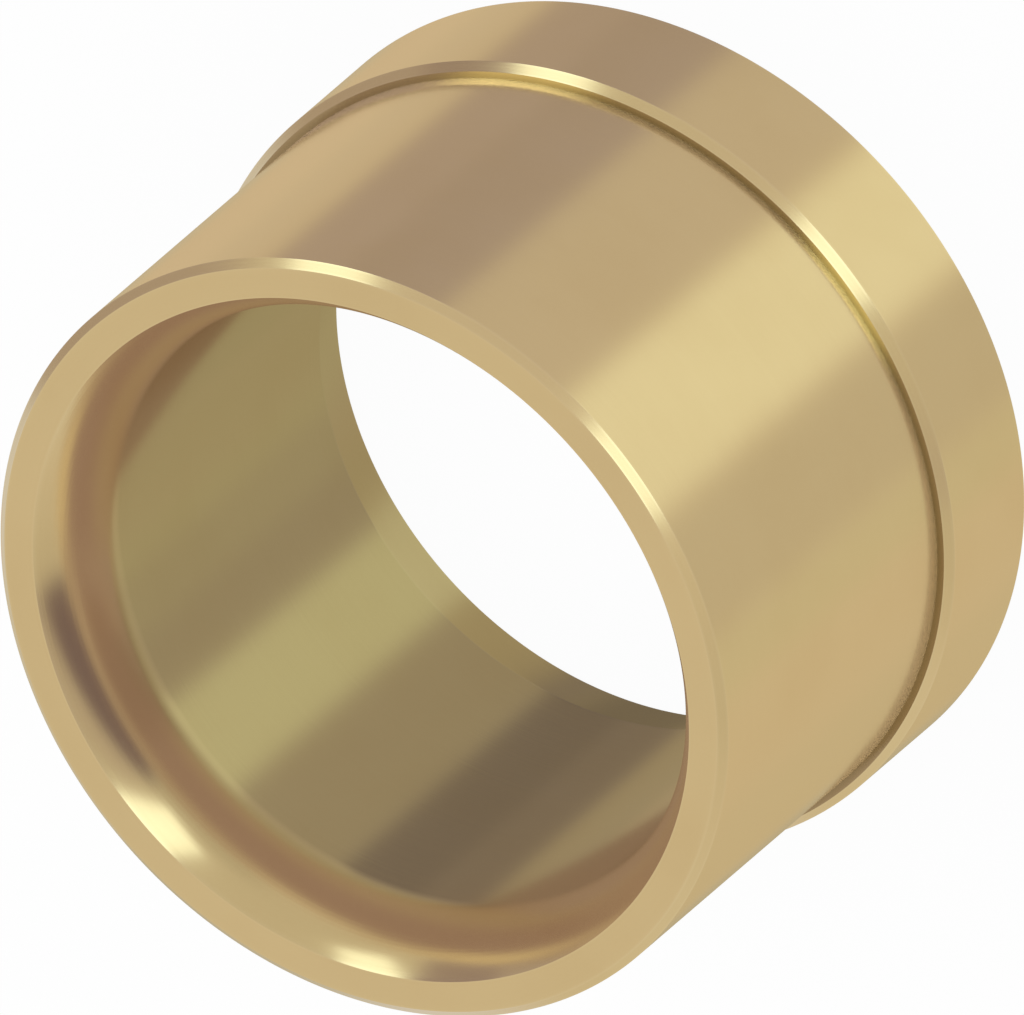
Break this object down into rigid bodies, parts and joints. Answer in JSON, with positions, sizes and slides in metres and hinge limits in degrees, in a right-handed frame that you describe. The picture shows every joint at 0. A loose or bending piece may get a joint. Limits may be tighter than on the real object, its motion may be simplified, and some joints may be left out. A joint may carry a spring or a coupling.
{
  "type": "press sleeve",
  "caption": "Turned brass press sleeve: a plain round barrel with a collar at one end, a rounded lead-in at the other end and a straight bore through it.",
  "frame": {"origin": "on the sleeve's axis, in the plane of the collar's end face, which it stands on", "axes": "+Z along the bore axis, from the collar end to the rounded lead-in end; X and Y are any two directions across it"},
  "size_m": [0.042, 0.042, 0.0276],
  "materials": {
    "turned_brass": "satin"
  },
  "bodies": {
    "root": {"press_sleeve": "turned_brass"}
  },
  "joints": []
}
